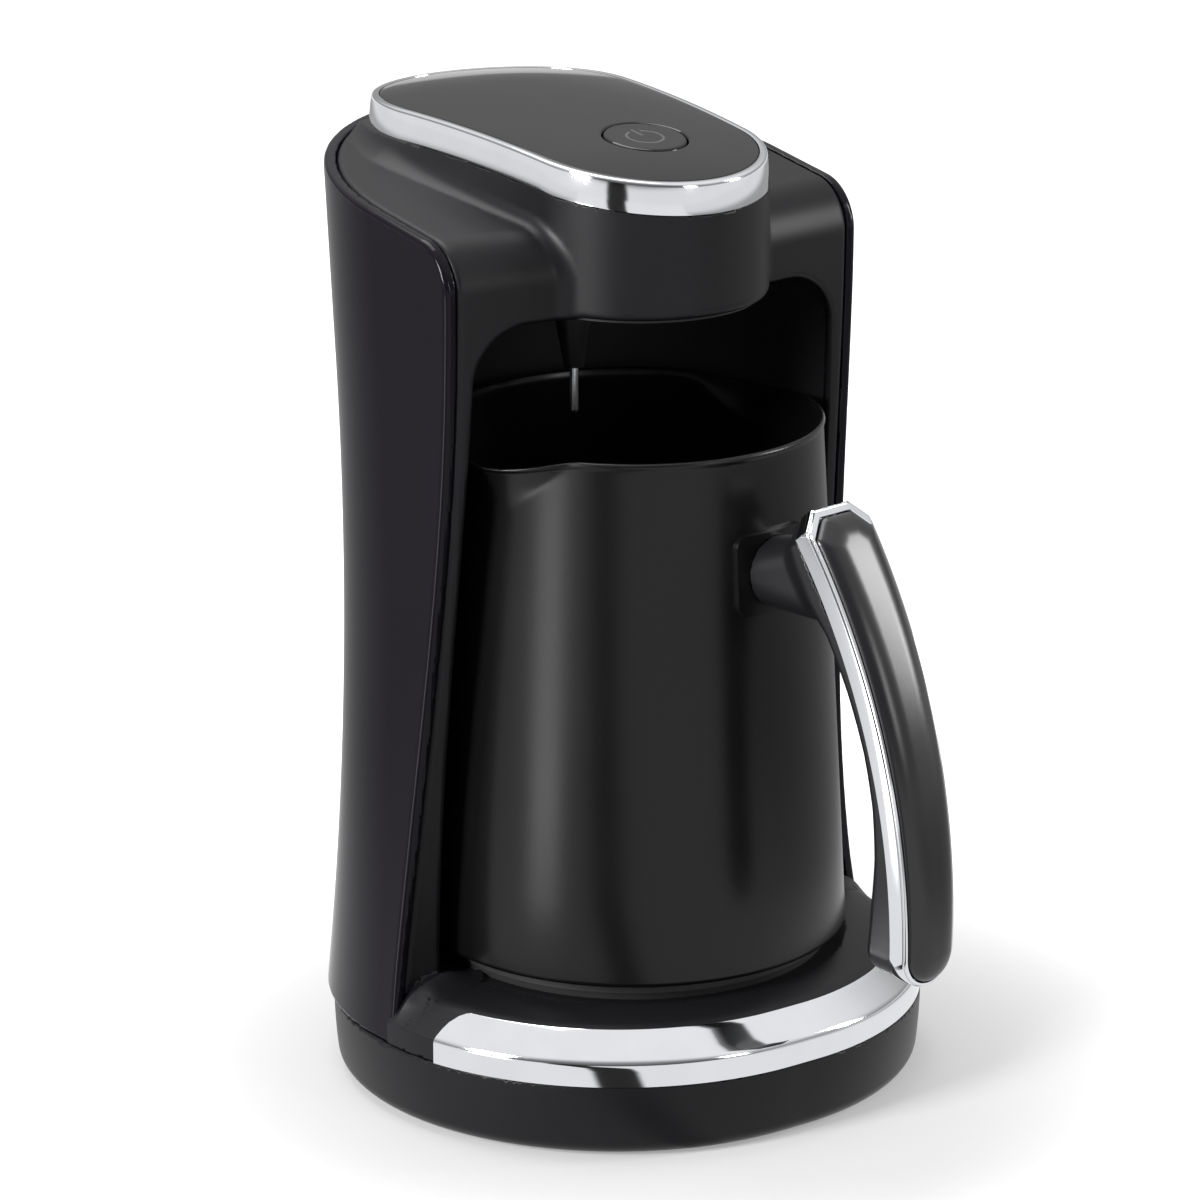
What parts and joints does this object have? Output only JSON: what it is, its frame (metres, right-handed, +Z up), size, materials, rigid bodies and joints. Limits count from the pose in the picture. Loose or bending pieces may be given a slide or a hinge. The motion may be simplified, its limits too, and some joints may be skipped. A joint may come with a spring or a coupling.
{
  "type": "electric turkish coffee maker",
  "caption": "Compact electric turkish coffee maker: hot-plate base, casing with an open bay, lift-out spouted pot with a curved handle, and a head with sensor rod and power button.",
  "frame": {"origin": "under the middle of the whole maker, on the surface it stands on", "axes": "+Z up, -Y towards the front where the pot's handle points, +X to the right of someone facing the front"},
  "size_m": [0.14, 0.1784, 0.2253],
  "materials": {
    "satin_black_plastic": "fine satin moulded",
    "gloss_black_plastic": "high gloss moulded",
    "panel_gloss": "high gloss",
    "black_rubber": "matt",
    "silicone_grey": "matt",
    "zinc_steel": "zinc plated",
    "chrome_plate": "bright plated",
    "polished_steel": "polished",
    "cast_plate": "coated casting",
    "element_steel": "heat tinted",
    "ceramic_white": "matt ceramic",
    "board_green": "solder mask",
    "relay_blue": "moulded",
    "transformer_yellow": "tape wound",
    "capacitor_red": "dipped",
    "terminal_green": "moulded",
    "switch_grey": "moulded",
    "buzzer_black": "moulded",
    "loom_red": "sleeved",
    "pot_coating": "matt heat-proof coating",
    "handle_black": "fine satin moulded",
    "insert_satin": "smooth satin moulded"
  },
  "bodies": {
    "maker": {"base_bowl": "satin_black_plastic", "rubber_feet": "black_rubber", "base_screws": "zinc_steel", "base_deck": "satin_black_plastic", "deck_trim": "chrome_plate", "hot_plate": "cast_plate", "plate_gasket": "black_rubber", "plate_clamp": "zinc_steel", "clamp_screws": "zinc_steel", "heating_element": "element_steel", "thermostat": "ceramic_white", "thermal_fuse": "zinc_steel", "power_board": "board_green", "heater_relay": "relay_blue", "power_transformer": "transformer_yellow", "filter_capacitor": "capacitor_red", "mains_terminal": "terminal_green", "board_screws": "zinc_steel", "cord_gland": "black_rubber", "rear_shell": "gloss_black_plastic", "shell_screws": "zinc_steel", "front_housing": "satin_black_plastic", "bay_liner": "satin_black_plastic", "head_floor": "satin_black_plastic", "floor_screws": "zinc_steel", "probe_holder": "satin_black_plastic", "sensor_rod": "polished_steel", "top_ring": "chrome_plate", "top_panel": "panel_gloss", "button_dome": "silicone_grey", "control_board": "board_green", "button_switch": "switch_grey", "buzzer": "buzzer_black", "panel_screws": "zinc_steel", "wire_loom": "loom_red"},
    "pot": {"pot_body": "pot_coating", "pot_bracket": "pot_coating", "handle_grip": "handle_black", "handle_frame": "chrome_plate", "handle_insert": "insert_satin", "handle_screws": "zinc_steel"},
    "button": {"power_button": "panel_gloss"}
  },
  "joints": [
    {"name": "pot_slide", "type": "slide", "parent": "maker", "child": "pot", "axis": [0, -1, 0], "range_m": [0, 0.13]},
    {"name": "button_press", "type": "slide", "parent": "maker", "child": "button", "axis": [0, 0.116, -0.9932], "range_m": [0, 0.0008], "stiffness_N_per_m": 400, "deforming": ["button_dome"]}
  ]
}
